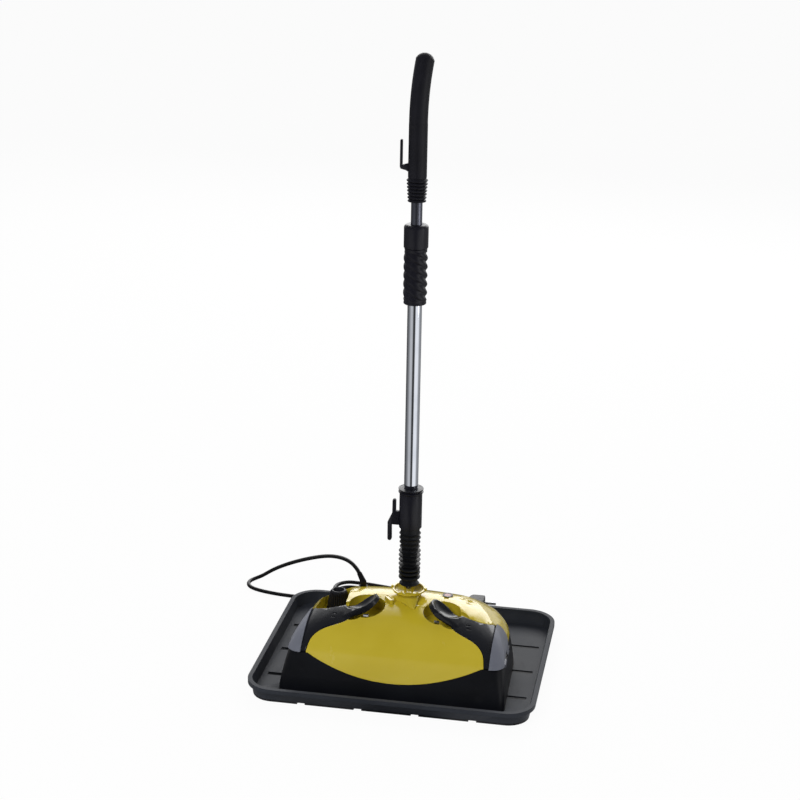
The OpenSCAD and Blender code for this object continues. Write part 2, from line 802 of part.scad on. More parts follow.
module bellows_boot() {
    color("#1c1e22") on_pole() difference() {
        rotate_extrude($fn = 96) union() {
            polygon([[0, boot_foot], [15.6, boot_foot], [15.8, boot_foot + 1.2], [boot_foot_r + 0.6, boot_foot + 6],
                     [boot_foot_r, boot_foot + 9], [boot_core(boot_foot + 40), boot_foot + 40],
                     [boot_core(hook_housing_z), hook_housing_z], [0, hook_housing_z]]);
            for (i = [0:1]) translate([0, boot_foot + 12 + 8.6 * i]) ring_profile(fin_r - 0.4, 2.6);
            for (i = [0:fin_count - 1]) fin_profile(first_fin + fin_pitch * i - 3);
        }
        translate([0, 0, boot_foot - 1]) cylinder(r = boot_bore_r, h = fork_disc - boot_foot + 6.4);
        translate([0, 0, boot_foot]) cylinder(r = 7, h = hook_housing_z);
    }
}

// A round bellows fold of radius r and half thickness t.
module ring_profile(r, t) {
    translate([r - t, 0]) circle(t);
    translate([0, -t * 0.7]) square([r - t, t * 1.4]);
}

module fin_profile(z) {
    r = z > first_fin + fin_pitch * 5 - 4 ? boot_core(z) + 2 : fin_r;
    polygon([[0, z - fin_t], [r, z - fin_t / 2], [r, z + fin_t / 2], [0, z + fin_t]]);
}

// ---- Lower tube, its hook housing and hook ----
housing_top = hook_housing_z + hook_housing_l;
tube_foot = hook_housing_z + 12;

module hook_housing() {
    r = hook_housing_r;
    color("#24262d") on_pole() difference() {
        rotate_extrude($fn = 96) polygon([
            [0, hook_housing_z], [r, hook_housing_z], [r, housing_top - 9], [r - 0.6, housing_top - 8],
            [r + 1.8, housing_top - 6], [r + 1.8, housing_top - 5], [r - 0.4, housing_top - 4],
            [r - 0.4, housing_top - 3.4], [r + 1.8, housing_top - 1.2], [r + 1.8, housing_top], [0, housing_top]]);
        translate([0, 0, hook_housing_z - 1]) cylinder(r = 7 + run, h = 13);
        translate([0, 0, tube_foot]) cylinder(r = lower_tube_r, h = hook_housing_l, $fn = 96);
    }
}

// Side view of the lower hook: a long arm down, a short arm up.
module lower_hook() {
    x = -hook_housing_r;
    z = hook_housing_z;
    color("#2c2e36") difference() {
        translate([0, pole_y + hook_w / 2, 0]) rotate([90, 0, 0]) linear_extrude(hook_w) {
            polygon(concat([[x + 4, z + 25], [x + 4, z + 2], [x - 11.8, z + 2]], arc([x - 14.8, z - 22], 3.3, 0, -180),
                           [[x - 18.2, z + 6], [x - 11, z + 22]], arc([x - 8.1, z + 42], 2.7, 180, 0), [[x - 5.4, z + 25]]));
        }
        on_pole() cylinder(r = hook_housing_r, h = big, $fn = 96);
    }
}

module lower_tube() {
    color("#c6c9cc") on_pole() difference() {
        translate([0, 0, tube_foot]) cylinder(r = lower_tube_r, h = lower_tube_top - tube_foot, $fn = 96);
        translate([0, 0, tube_foot - 1]) cylinder(r = lower_tube_r - lower_tube_wall, h = lower_tube_top, $fn = 96);
    }
}

// ---- Twist lock ----
collar_top = lower_tube_top + collar_over;
lock_top = collar_top - collar_l - gap;
lock_z = lock_top - lock_grip_l;

module lock_grip() {
    pitch = (lock_grip_l - 2 * lock_ring) / lock_ribs;
    color("#25272e") on_pole() difference() {
        rotate_extrude($fn = 96) polygon(concat([[0, lock_z], [lock_rib_r, lock_z], [lock_rib_r, lock_z + lock_ring]],
            [for (i = [0:lock_ribs - 1], k = [0:3]) [k == 1 || k == 2 ? lock_rib_r : lock_grip_r,
                lock_z + lock_ring + pitch * (i + [0.06, 0.32, 0.68, 0.94][k])]],
            [[lock_rib_r, lock_top - lock_ring], [lock_rib_r, lock_top], [0, lock_top]]));
        translate([0, 0, lock_z - 1]) cylinder(r = lower_tube_r + run, h = lock_grip_l + 2, $fn = 96);
    }
}

module lock_collar() {
    color("#27292f") on_pole() difference() {
        rotate_extrude($fn = 96) polygon(concat([[0, lock_top + gap], [collar_r, lock_top + gap]],
            [for (a = [0:15:75]) [collar_r - 5 + 5 * cos(a), collar_top - 5 + 5 * sin(a)]],
            [[collar_r - 5, collar_top], [0, collar_top]]));
        translate([0, 0, lock_top]) cylinder(r = lower_tube_r, h = lower_tube_top - lock_top, $fn = 96);
        translate([0, 0, lower_tube_top - 1]) cylinder(r = upper_tube_r + 2, h = 8, $fn = 96);
        translate([0, 0, lock_top]) cylinder(r = upper_tube_r + run, h = 60, $fn = 96);
    }
}

// A slotted ring that the collar closes on the upper tube.
module lock_collet() {
    color("#d9d6cc") on_pole() difference() {
        translate([0, 0, lower_tube_top + 0.1]) cylinder(r = upper_tube_r + 2 - run, h = 6.7, $fn = 96);
        translate([0, 0, lower_tube_top - 1]) cylinder(r = upper_tube_r + run, h = 20, $fn = 96);
        translate([0, -0.6, lower_tube_top - 1]) cube([30, 1.2, 20]);
    }
}

// ---- Upper tube and handle ----
upper_foot = lower_tube_top - overlap;
ferrule_z = collar_top + tube_shown;
grip_z = ferrule_z + ferrule_l;

module upper_tube() {
    color("#8e9298") on_pole() difference() {
        translate([0, 0, upper_foot]) cylinder(r = upper_tube_r, h = grip_z + 10 - upper_foot, $fn = 96);
        translate([0, 0, upper_foot - 1]) cylinder(r = upper_tube_r - upper_tube_wall, h = 2 * big, $fn = 96);
    }
}

module guide_bush() {
    color("#e6e2d6") on_pole() translate([0, 0, upper_foot - 4]) difference() {
        union() {
            cylinder(r = lower_tube_r - lower_tube_wall - run, h = 4, $fn = 96);
            cylinder(r = upper_tube_r - upper_tube_wall, h = 16);
        }
        translate([0, 0, -1]) cylinder(r = 4, h = 30);
    }
}

module handle_ferrule() {
    fin = ferrule_l / ferrule_fins;
    color("#202228") on_pole() difference() {
        rotate_extrude($fn = 96) polygon(concat([[0, ferrule_z]], [for (i = [0:ferrule_fins - 1])
            let (z = ferrule_z + fin * i, r = 14 + 2 * i / (ferrule_fins - 1))
            each [[r - 0.4, z], [r, z + 1], [r - 3, z + fin - 0.8]]], [[grip_r - 1, grip_z], [0, grip_z]]));
        translate([0, 0, ferrule_z - 1]) cylinder(r = upper_tube_r, h = 2 * ferrule_l, $fn = 96);
    }
}

bend_z = grip_z + grip_straight;
// How much slimmer the bend is than the straight below it
bend_relief = 0.15;

// Carries its children from the foot of the bend to its end.
module past_bend() {
    translate([0, 0, bend_z]) rotate(bend_turn) translate([bend_r, 0, 0]) rotate([0, bend_angle, 0])
        translate([-bend_r, 0, 0]) children();
}

module hand_grip() {
    color("#24252b") on_pole() difference() {
        union() {
            translate([0, 0, grip_z]) cylinder(r = grip_r, h = grip_straight);
            translate([0, 0, bend_z]) rotate(bend_turn) translate([bend_r, 0, 0]) rotate([-90, 0, 0])
                rotate([0, 0, 180]) rotate_extrude(angle = bend_angle, $fn = 96) translate([bend_r, 0]) circle(grip_r - bend_relief);
        }
        translate([0, 0, grip_z - 1]) cylinder(r = upper_tube_r, h = 11, $fn = 96);
    }
}

module grip_cap() {
    color("#1d1e23") on_pole() past_bend() intersection() {
        translate([0, 0, -4]) sphere(r = grip_r + 0.6, $fn = 64);
        cylinder(r = grip_r, h = grip_r);
    }
}

module upper_hook() {
    x = -grip_r;
    z = grip_z + 6;
    color("#26272e") difference() {
        translate([0, pole_y + 3, 0]) rotate([90, 0, 0]) linear_extrude(6) {
            polygon(concat([[x + 4, z], [x + 4, z + 17], [x - 2, z + 14], [x - 8.6, z + 12]],
                           arc([x - 10.4, z + 48], 1.7, 0, 180), [[x - 12.2, z + 9], [x - 11, z + 6], [x - 3, z + 4]]));
        }
        on_pole() cylinder(r = grip_r, h = 2 * big, $fn = 96);
    }
}

// ---- Cord ----
cord_sides = 10;
hank_x = -166;
hank_y = 188;

function unit(v) = v / norm(v);
function heading(p, i) = let (n = len(p) - 1) unit(p[min(i + 1, n)] - p[max(i - 1, 0)]);

// One ring of the tube round the curve p, square to its heading.
function cord_ring(p, i) = let (t = heading(p, i), u = unit(cross([0.3, 1, 0.2], t)), v = cross(t, u))
    [for (k = [0:cord_sides - 1]) let (a = 360 * k / cord_sides)
        p[i] + cord_r * (cos(a) * u + sin(a) * v)];

module cord_run(p) {
    n = len(p);
    s = cord_sides;
    polyhedron(
        points = [for (i = [0:n - 1]) each cord_ring(p, i)],
        faces = concat([[for (k = [0:s - 1]) k]], [[for (k = [0:s - 1]) (n - 1) * s + s - 1 - k]],
            [for (i = [0:n - 2], k = [0:s - 1])
                [i * s + k, (i + 1) * s + k, (i + 1) * s + (k + 1) % s, i * s + (k + 1) % s]]));
}

module cord_tube() {
    color("#141518") {
        cord_run(curve(CORD, 2));
        cord_run(curve(TAIL, 2));
    }
}

module hank_plan(inset) {
    r = hank_w / 2 - inset;
    for (x = [hank_w / 2, hank_l - hank_w / 2]) translate([x, hank_w / 2]) circle(r);
    translate([hank_w / 2, inset]) square([hank_l - hank_w, 2 * r]);
}

module cord_hank() {
    color("#17181b") translate([hank_x, hank_y, 0]) linear_extrude(hank_h) difference() {
        hank_plan(0);
        hank_plan(hank_side);
    }
}

plug_x = TAIL[5][0] - 9;
plug_y = TAIL[5][1];
plug_z = TAIL[5][2];

module plug_body() {
    color("#17181b") translate([plug_x, plug_y, plug_z]) rotate([0, 90, 0]) {
        cylinder(r1 = cord_r + 0.8, r2 = 7, h = 24);
        translate([0, 0, 24]) linear_extrude(28) intersection() {
            circle(18.5);
            square([25.6, 40], center = true);
        }
    }
}

module plug_pins() {
    color("silver") for (s = [-1, 1]) translate([plug_x + 52, plug_y + 9.5 * s, plug_z]) rotate([0, 90, 0]) cylinder(r = 2.4, h = 19);
}

// ---- Tilt latch ----
// A press tab beside the cup that frees the pole's upright lock.
module latch_block(d, z, h) {
    translate([-27, -10, z]) rotate(-52) linear_extrude(h) {
        translate([-7, 0]) circle(4 + d);
        translate([7, 0]) circle(4 + d);
        square([14, 8 + 2 * d], center = true);
    }
}

module tilt_latch() {
    color("#c4ae48") difference() {
        latch_block(0, cover_top - 9, 12);
        translate([0, 0, 6]) latch_block(-1.6, cover_top - 4, 20);
    }
}

tray();
lower_housing();
sole_plate();
sole_screws();
top_cover();
boiler();
boiler_saddles();
heating_element();
thermostat();
thermal_fuse();
terminal_block();
filler_neck();
steam_pipe();
pilot_lamp();
lamp_bezel();
cord_gland();
hinge_pin_left();
hinge_pin_right();
catch_left();
catch_right();
lever_left();
lever_right();
jaw_left();
jaw_right();
cap_knob();
cap_plug();
cap_seal();
neck_cup();
tilt_latch();
swivel_cross();
pole_fork();
bellows_boot();
hook_housing();
lower_hook();
lower_tube();
lock_collar();
lock_collet();
lock_grip();
upper_tube();
guide_bush();
handle_ferrule();
hand_grip();
upper_hook();
grip_cap();
cord_tube();
cord_hank();
plug_body();
plug_pins();
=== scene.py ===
import json
import math

import bmesh
import bpy
from mathutils import Matrix, Vector
from mathutils.bvhtree import BVHTree


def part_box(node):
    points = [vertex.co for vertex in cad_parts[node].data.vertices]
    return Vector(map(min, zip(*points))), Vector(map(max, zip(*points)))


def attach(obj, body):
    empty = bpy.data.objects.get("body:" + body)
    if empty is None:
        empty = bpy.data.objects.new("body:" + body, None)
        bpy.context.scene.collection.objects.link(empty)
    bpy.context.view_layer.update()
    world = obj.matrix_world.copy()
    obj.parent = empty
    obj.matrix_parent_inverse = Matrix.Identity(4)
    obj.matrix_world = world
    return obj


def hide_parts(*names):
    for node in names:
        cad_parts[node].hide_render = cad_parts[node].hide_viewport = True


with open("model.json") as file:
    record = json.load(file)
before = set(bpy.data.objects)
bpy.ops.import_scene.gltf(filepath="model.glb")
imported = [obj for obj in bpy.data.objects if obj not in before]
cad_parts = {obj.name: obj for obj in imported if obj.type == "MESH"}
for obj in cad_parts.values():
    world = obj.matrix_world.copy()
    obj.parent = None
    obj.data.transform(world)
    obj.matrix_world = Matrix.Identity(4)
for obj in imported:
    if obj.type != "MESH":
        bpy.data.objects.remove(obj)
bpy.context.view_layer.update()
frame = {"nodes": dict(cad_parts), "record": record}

scene = bpy.context.scene
scene.view_settings.view_transform = "Standard"
MM = 0.001


# ---- Camera ----
def aimed(thing, location, target, roll=0.0):
    """Places a camera or lamp at location, looking at target, turned about its own axis by roll degrees."""
    thing.location = location
    way = Vector(target) - Vector(location)
    turn = way.to_track_quat("-Z", "Y").to_matrix() @ Matrix.Rotation(math.radians(roll), 3, "Z")
    thing.rotation_euler = turn.to_euler()
    scene.collection.objects.link(thing)
    return thing


def spherical(azimuth, elevation, distance):
    """The offset of a point seen at this azimuth and elevation in degrees; azimuth 0 is in front, on -Y."""
    a, e = math.radians(azimuth), math.radians(elevation)
    return Vector((math.sin(a) * math.cos(e), -math.cos(a) * math.cos(e), math.sin(e))) * distance


camera_data = bpy.data.cameras.new("camera")
camera_data.lens, camera_data.sensor_width = 84.6, 36.0
camera_data.clip_end = 100.0
aim = Vector((-0.0193, 0.0099, 0.4378))
camera = bpy.data.objects.new("camera", camera_data)
scene.camera = aimed(camera, aim + spherical(9.915, 19.03, 2.881), aim, 1.03)


# ---- Materials ----
def srgb(*levels):
    """An RGBA colour from 0 to 255 levels on a screen."""
    linear = [(v / 255 / 12.92) if v < 10.3 else ((v / 255 + 0.055) / 1.055) ** 2.4 for v in levels]
    return (*linear, 1.0)


class Wire:
    """A socket that Python's operators join to others through Math nodes."""

    def __init__(self, finish, socket):
        self.finish, self.socket = finish, socket

    def _math(self, operation, a, b):
        return self.finish.node("Math", {"operation": operation}, {0: a, 1: b})

    def __add__(self, other):
        return self._math("ADD", self, other)

    def __radd__(self, other):
        return self._math("ADD", other, self)

    def __sub__(self, other):
        return self._math("SUBTRACT", self, other)

    def __mul__(self, other):
        return self._math("MULTIPLY", self, other)


# The material of each of the record's slots, by the slot's name.
SLOT_FINISH = {}


class Finish:
    """A material and the nodes that make its colour, roughness and relief."""

    def __init__(self, name, **constants):
        self.material = SLOT_FINISH[name] = bpy.data.materials.new(name)
        self.material.use_nodes = True
        self.tree = self.material.node_tree
        self.shader = self.tree.nodes["Principled BSDF"]
        for label, value in constants.items():
            self.shader.inputs[label.replace("_", " ")].default_value = value
        self.place = self.node("TexCoord", output="Object")

    def node(self, kind, settings=None, inputs=None, output=0):
        """Adds a shader node with these settings and inputs, and gives one of its outputs as a wire."""
        made = self.tree.nodes.new("ShaderNode" + kind)
        for label, value in (settings or {}).items():
            if label == "stops":
                ramp = made.color_ramp
                while len(ramp.elements) < len(value):
                    ramp.elements.new(0.5)
                for element, (position, colour) in zip(ramp.elements, value):
                    element.position = position
                    element.color = colour if hasattr(colour, "__len__") else (colour,) * 3 + (1.0,)
            else:
                setattr(made, label, value)
        for label, value in (inputs or {}).items():
            self.join(value, made.inputs[label])
        return Wire(self, made.outputs[output])

    def join(self, value, socket):
        if isinstance(value, Wire):
            self.tree.links.new(value.socket, socket)
        else:
            socket.default_value = value

    def noise(self, scale, detail=2.0, rough=0.5, stretch=(1.0, 1.0, 1.0)):
        """Noise of this many waves to a metre, times stretch along each axis."""
        waves = self.node("Mapping", {"vector_type": "TEXTURE"},
                          {"Vector": self.place, "Scale": tuple(1.0 / (scale * s) for s in stretch)})
        return self.node("TexNoise", None,
                         {"Vector": waves, "Scale": 1.0, "Detail": detail, "Roughness": rough})

    def ramp(self, value, *stops):
        return self.node("ValToRGB", {"stops": stops}, {0: value})

    def span(self, value, low, high, to_low=0.0, to_high=1.0):
        """Eases from to_low to to_high as value goes from low to high."""
        ends = {"From Min": low, "From Max": high, "To Min": to_low, "To Max": to_high}
        return self.node("MapRange", {"interpolation_type": "SMOOTHSTEP"}, {"Value": value, **ends})

    def mix(self, share, a, b):
        return self.node("Mix", {"data_type": "RGBA"}, {0: share, 6: a, 7: b}, output=2)

    def height(self):
        """Height above the floor, in metres."""
        return self.node("SeparateXYZ", None, {0: self.place}, output="Z")

    def relief(self, *layers, rounding=0.0006):
        """Rounded edges and bump from (height wire, depth in metres) layers, chained."""
        normal = self.node("Bevel", {"samples": 4}, {"Radius": rounding})
        for wire, depth in layers:
            inputs = {"Height": wire, "Distance": depth, "Strength": 1.0, "Normal": normal}
            normal = self.node("Bump", None, inputs)
        self.join(normal, self.shader.inputs["Normal"])

    def done(self, colour, roughness):
        self.join(colour, self.shader.inputs["Base Color"])
        self.join(roughness, self.shader.inputs["Roughness"])


# Near black, painted as shade into grooves and low places.
PAINTED_SHADE = (0.004, 0.004, 0.005, 1.0)


def moulded(name, colour, lifted, roughness, grain=900.0, grain_depth=0.00003, scuff=0.12, rounding=0.0006,
            shade_below=None, **constants):
    """A moulded plastic or rubber: mottled tone, fine grain, handling scuffs and faint flow marks.

    Where a height in metres is given, what lies lower than it is darkened with painted shade, as in the
    tray's grooves and on its low walls."""
    f = Finish(name, **constants)
    mottle = f.noise(14.0, 3.0)
    flow = f.noise(5.0, 2.0, stretch=(1.0, 1.0, 6.0))
    scuffs = f.span(f.noise(46.0, 6.0, 0.7, stretch=(1.0, 0.35, 1.0)), 0.58, 0.74)
    fine = f.noise(grain, 2.0, 0.6)
    f.relief((fine, grain_depth), (mottle, 0.0004), rounding=rounding)
    tone = f.mix(f.span(mottle * 0.7 + flow * 0.3, 0.3, 0.7), colour, lifted)
    if shade_below is not None:
        # Painted shade: lower than the given height, the tone turns towards near black.
        tone = f.mix(f.span(f.height(), shade_below - 0.0009, shade_below - 0.0001, 0.8, 0.0), tone, PAINTED_SHADE)
    scuffed = tuple(0.7 * c + 0.05 for c in lifted[:3]) + (1.0,)
    f.done(f.mix(scuffs * scuff, tone, scuffed),
           roughness + (mottle - 0.5) * 0.12 + scuffs * 0.14 + (fine - 0.5) * 0.06)


def metal(name, colour, dark, roughness, lines=(420.0, 420.0, 5.0), depth=0.00001, smudge=0.1, **constants):
    """A metal with drawing or turning lines along one axis, and faint smudges."""
    f = Finish(name, Metallic=1.0, **constants)
    drawn = f.noise(1.0, 3.0, 0.6, stretch=lines)
    smudges = f.span(f.noise(24.0, 4.0, 0.6), 0.42, 0.75)
    f.relief((drawn, depth))
    f.done(f.mix(drawn * 0.5 + smudges * 0.3, colour, dark),
           roughness + smudges * smudge + (drawn - 0.5) * 0.05)


# The tray gets painted shade below its floor's top, 4 mm up: in its grooves and on its low walls.
moulded("tray_plastic", srgb(42, 45, 51), srgb(52, 55, 62), 0.5, grain=1400.0, grain_depth=0.00004,
        scuff=0.16, rounding=0.0012, shade_below=0.004, Specular_IOR_Level=0.12)
moulded("housing_black", srgb(12, 13, 17), srgb(18, 20, 25), 0.42, grain=1600.0, scuff=0.1,
        Specular_IOR_Level=0.22)
moulded("cover_yellow", srgb(200, 178, 40), srgb(206, 185, 50), 0.2, grain=260.0, grain_depth=0.00001,
        scuff=0.04, rounding=0.0009, Specular_IOR_Level=0.35, Coat_Weight=0.6, Coat_Roughness=0.12)
moulded("lever_black", srgb(15, 17, 22), srgb(22, 24, 31), 0.28, grain=500.0, grain_depth=0.00001,
        scuff=0.08, rounding=0.0009, Specular_IOR_Level=0.3, Coat_Weight=0.25, Coat_Roughness=0.12)
moulded("jaw_grey", srgb(106, 109, 120), srgb(118, 121, 132), 0.36, grain=1500.0, grain_depth=0.00002,
        scuff=0.1, Specular_IOR_Level=0.25)
moulded("trim_black", srgb(19, 20, 26), srgb(27, 28, 35), 0.38, Specular_IOR_Level=0.35)
moulded("lock_plastic", srgb(14, 14, 22), srgb(22, 22, 32), 0.38, grain=1300.0, Specular_IOR_Level=0.35)
moulded("boot_rubber", srgb(10, 12, 15), srgb(17, 19, 23), 0.5, grain=1200.0, scuff=0.14, rounding=0.0003,
        Specular_IOR_Level=0.3)
moulded("grip_rubber", srgb(15, 15, 21), srgb(22, 22, 30), 0.52, grain=1500.0, grain_depth=0.00005,
        scuff=0.1, Specular_IOR_Level=0.3)
moulded("gland_rubber", srgb(12, 12, 15), srgb(18, 18, 22), 0.55, grain=1300.0, Specular_IOR_Level=0.3)
moulded("seal_rubber", srgb(52, 46, 42), srgb(66, 60, 55), 0.6, grain=1400.0)
moulded("fork_nylon", srgb(46, 48, 54), srgb(60, 62, 68), 0.5)
moulded("nylon_white", srgb(218, 213, 200), srgb(232, 228, 218), 0.42, scuff=0.05)
moulded("ceramic", srgb(214, 205, 186), srgb(230, 223, 206), 0.48, grain=700.0, scuff=0.05)
moulded("cord_pvc", srgb(12, 12, 14), srgb(18, 18, 21), 0.4, grain=1500.0, rounding=0.0002,
        Specular_IOR_Level=0.35)
moulded("lamp_red", srgb(150, 42, 26), srgb(176, 62, 38), 0.16, grain=400.0, grain_depth=0.00001,
        Transmission_Weight=0.35, IOR=1.49)
moulded("bracket_steel", srgb(78, 80, 84), srgb(96, 98, 102), 0.46, grain=800.0)
metal("tube_chrome", srgb(228, 232, 240), srgb(198, 203, 214), 0.06, depth=0.000003, smudge=0.05)
metal("tube_satin", srgb(116, 118, 130), srgb(98, 101, 113), 0.3)
metal("screw_steel", srgb(200, 202, 206), srgb(168, 170, 176), 0.28, lines=(600.0, 600.0, 600.0))
metal("catch_steel", srgb(228, 230, 234), srgb(200, 203, 208), 0.14, lines=(30.0, 500.0, 500.0))
metal("swivel_steel", srgb(176, 179, 184), srgb(148, 151, 157), 0.34)
metal("boiler_aluminium", srgb(190, 193, 197), srgb(160, 164, 170), 0.38, lines=(8.0, 420.0, 420.0))
metal("sole_aluminium", srgb(186, 189, 193), srgb(156, 160, 165), 0.34, lines=(6.0, 420.0, 420.0))
metal("element_steel", srgb(118, 108, 102), srgb(84, 78, 76), 0.44, lines=(40.0, 300.0, 300.0))
metal("brass", srgb(206, 168, 92), srgb(170, 132, 66), 0.28, lines=(60.0, 60.0, 600.0))
metal("copper_pipe", srgb(212, 146, 108), srgb(170, 106, 76), 0.3)

for part in frame["record"]["subparts"]:
    node = frame["nodes"][part["node"]]
    node.data.materials.clear()
    node.data.materials.append(SLOT_FINISH[part["material_slot"]])


# ---- Making and placing pieces ----
BODY = {node: body for body, nodes in frame["record"]["behaviour"]["bodies"].items() for node in nodes}
SLOT = {part["node"]: part["material_slot"] for part in frame["record"]["subparts"]}


def placed(made, *nodes):
    """Links an object that stands for these CAD nodes, with the first one's body and finish."""
    scene.collection.objects.link(made)
    made.data.materials.append(SLOT_FINISH[SLOT[nodes[0]]])
    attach(made, BODY[nodes[0]])
    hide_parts(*nodes)
    return made


def piece(form, *nodes, name=None, crease=32.0):
    """Makes an object of a bmesh, smooth but for edges sharper than crease degrees."""
    data = bpy.data.meshes.new(name or nodes[0])
    form.to_mesh(data)
    form.free()
    data.shade_smooth()
    data.set_sharp_from_angle(angle=math.radians(crease))
    return placed(bpy.data.objects.new(name or nodes[0] + "_dressed", data), *nodes)


def spline(points, steps):
    """Points on the Catmull-Rom curve through these points, with this many steps to a span."""
    ends = [points[0]] + points + [points[-1]]
    drawn = []
    for a, b, c, d in zip(ends, ends[1:], ends[2:], ends[3:]):
        for k in range(steps):
            t = k / steps
            drawn.append(0.5 * (2 * b + (c - a) * t + (2 * a - 5 * b + 4 * c - d) * t * t
                                + (3 * b - a - 3 * c + d) * t ** 3))
    return drawn + [points[-1]]


def ringed(levels, place, segments):
    """A closed skin of rings: place(level, turn) gives a ring's point in millimetres, turn from 0 to 1."""
    form = bmesh.new()
    share = form.verts.layers.float.new("share")
    ring = bmesh.ops.create_circle(form, cap_ends=False, segments=segments, radius=1.0)["verts"]
    for v in ring:
        v[share] = math.atan2(v.co.y, v.co.x) / (2 * math.pi) % 1.0
    first = edges = form.edges[:]
    for number, level in enumerate(levels):
        if number:
            grown = bmesh.ops.extrude_edge_only(form, edges=edges)["geom"]
            ring = [g for g in grown if isinstance(g, bmesh.types.BMVert)]
            edges = [g for g in grown if isinstance(g, bmesh.types.BMEdge)]
        for v in ring:
            v.co = Vector(place(level, v[share])) * MM
    bmesh.ops.contextual_create(form, geom=first)
    bmesh.ops.contextual_create(form, geom=edges)
    bmesh.ops.recalc_face_normals(form, faces=form.faces)
    form.verts.layers.float.remove(share)
    return form


def turned(profile, centre, steps):
    """A solid turned about an upright axis from a closed profile of (radius, height) in millimetres."""
    form = bmesh.new()
    row = [form.verts.new((centre[0] * MM + r * MM, centre[1] * MM, z * MM)) for r, z in profile]
    edges = [form.edges.new(pair) for pair in zip(row, row[1:] + row[:1])]
    bmesh.ops.spin(form, geom=row + edges, cent=(centre[0] * MM, centre[1] * MM, 0.0),
                   axis=(0.0, 0.0, 1.0), angle=2 * math.pi, steps=steps, use_merge=True, use_duplicate=False)
    bmesh.ops.remove_doubles(form, verts=form.verts, dist=0.000004)
    bmesh.ops.recalc_face_normals(form, faces=form.faces)
    return form


def merged(node):
    """A copy of a node's form with its triangles joined."""
    form = bmesh.new()
    form.from_mesh(frame["nodes"][node].data)
    bmesh.ops.remove_doubles(form, verts=form.verts, dist=0.000005)
    bmesh.ops.dissolve_degenerate(form, dist=0.000002, edges=form.edges)
    bmesh.ops.dissolve_limit(form, angle_limit=math.radians(0.2), use_dissolve_boundaries=False,
                             verts=form.verts, edges=form.edges)
    return form


def chamfered(form, width):
    """Rounds a form's edges that are sharper than 40 degrees, by width millimetres."""
    limit = math.radians(40.0)
    sharp = [e for e in form.edges if len(e.link_faces) == 2 and e.calc_face_angle(0.0) > limit]
    bmesh.ops.bevel(form, geom=sharp, offset=width * MM, offset_type="OFFSET", affect="EDGES", segments=2,
                    profile=0.5, material=-1, clamp_overlap=True)
    return form


# ---- Cord ----
cord_r = 3.2
# The cord's way from the gland to the hank, and from the top of the hank to the plug.
ROUTE = [Vector(p) for p in (
    (-88, 50, 124), (-95, 56, 131), (-110, 69, 136), (-132, 88, 132), (-157, 111, 121), (-188, 142, 101),
    (-219, 173, 79), (-250, 204, 55), (-280, 234, 29), (-298, 250, 11), (-312, 250, 4), (-321, 236, 3.4),
    (-316, 217, 3.4), (-298, 205, 3.4), (-265, 196, 3.4), (-225, 192, 3.4), (-175, 191.2, 3.4))]
TAIL = [Vector(p) for p in (
    (-50, 191.2, 17), (-22, 191.6, 18.2), (2, 194, 17.8), (24, 200, 15.2), (40, 204.6, 13.2), (54, 206, 13))]
hank_low, hank_high = (Vector(v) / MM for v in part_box("cord_hank"))
# How far the outer and the inner column's runs lie from the hank's middle, and the layers' heights.
COLUMN = [25.9, 19.4]
LAYER = [3.5 + 6.45 * k for k in range(3)]
hank_y = hank_low.y + cord_r + COLUMN[0]
left_x, right_x = hank_low.x + cord_r + COLUMN[0], hank_high.x - cord_r - COLUMN[0]


def eased(t):
    return t * t * (3 - 2 * t)


# Steps along a straight run of the hank, and round the half turn at its end.
RUN_STEPS, FOLD_STEPS = 12, 20


def run(side, column, low, high):
    """A straight run of the hank, front (-1) or rear (1), from height low to high."""
    start, end = (left_x, right_x) if side < 0 else (right_x, left_x)
    y = hank_y + side * COLUMN[column]
    return [Vector((start + (end - start) * k / RUN_STEPS, y, low + (high - low) * eased(k / RUN_STEPS)))
            for k in range(RUN_STEPS)]


def fold(side, column, to, low, high):
    """A half turn round the hank's right (1) or left (-1) end, from one column and height to another."""
    x = right_x if side > 0 else left_x
    points = []
    for t in (k / FOLD_STEPS for k in range(FOLD_STEPS)):
        angle = math.pi * (t - 0.5 if side > 0 else t + 0.5)
        r = COLUMN[column] + (COLUMN[to] - COLUMN[column]) * eased(t)
        z = low + (high - low) * eased(t)
        points.append(Vector((x + r * math.cos(angle), hank_y + r * math.sin(angle), z)))
    return points


def wound(column, to, low, high):
    """One turn of the hank, that ends at its left end in another column or height."""
    return (run(-1, column, low, low) + fold(1, column, column, low, low)
            + run(1, column, low, high) + fold(-1, column, to, high, high))


bottom, middle, top = LAYER
WOUND = (wound(0, 1, bottom, bottom) + wound(1, 1, bottom, middle) + wound(1, 0, middle, middle)
         + wound(0, 0, middle, top) + run(-1, 0, top, top)[:7])


def smoothed(points, passes):
    """The same points with their corners eased, ends kept."""
    for _ in range(passes):
        inner = [(a + 2 * b + c) / 4 for a, b, c in zip(points, points[1:], points[2:])]
        points = [points[0], *inner, points[-1]]
    return points


cord_data = bpy.data.curves.new("cord", "CURVE")
cord_data.dimensions = "3D"
cord_data.bevel_depth, cord_data.bevel_resolution, cord_data.use_fill_caps = cord_r * MM, 4, True
lead = cord_data.splines.new("POLY")
points = smoothed(spline(ROUTE + WOUND[:1], 6), 14)[:-1] + WOUND + spline([WOUND[-1]] + TAIL, 5)[1:]
lead.points.add(len(points) - 1)
for knot, spot in zip(lead.points, points):
    knot.co = (*(spot * MM), 1.0)
lead.use_smooth = True
cord = placed(bpy.data.objects.new("cord", cord_data), "cord_tube", "cord_hank")


def round_plug(level, turn):
    """The plug: a ribbed taper that grows into a body with two flats, from (length, radius, flat) levels."""
    x, r, flat = level
    angle = 2 * math.pi * turn
    y, z = r * math.cos(angle), r * math.sin(angle)
    if abs(z) > flat:
        z = math.copysign(flat + 0.12 * (abs(z) - flat), z)
    return plug_x + x, plug_y + y, plug_z + z


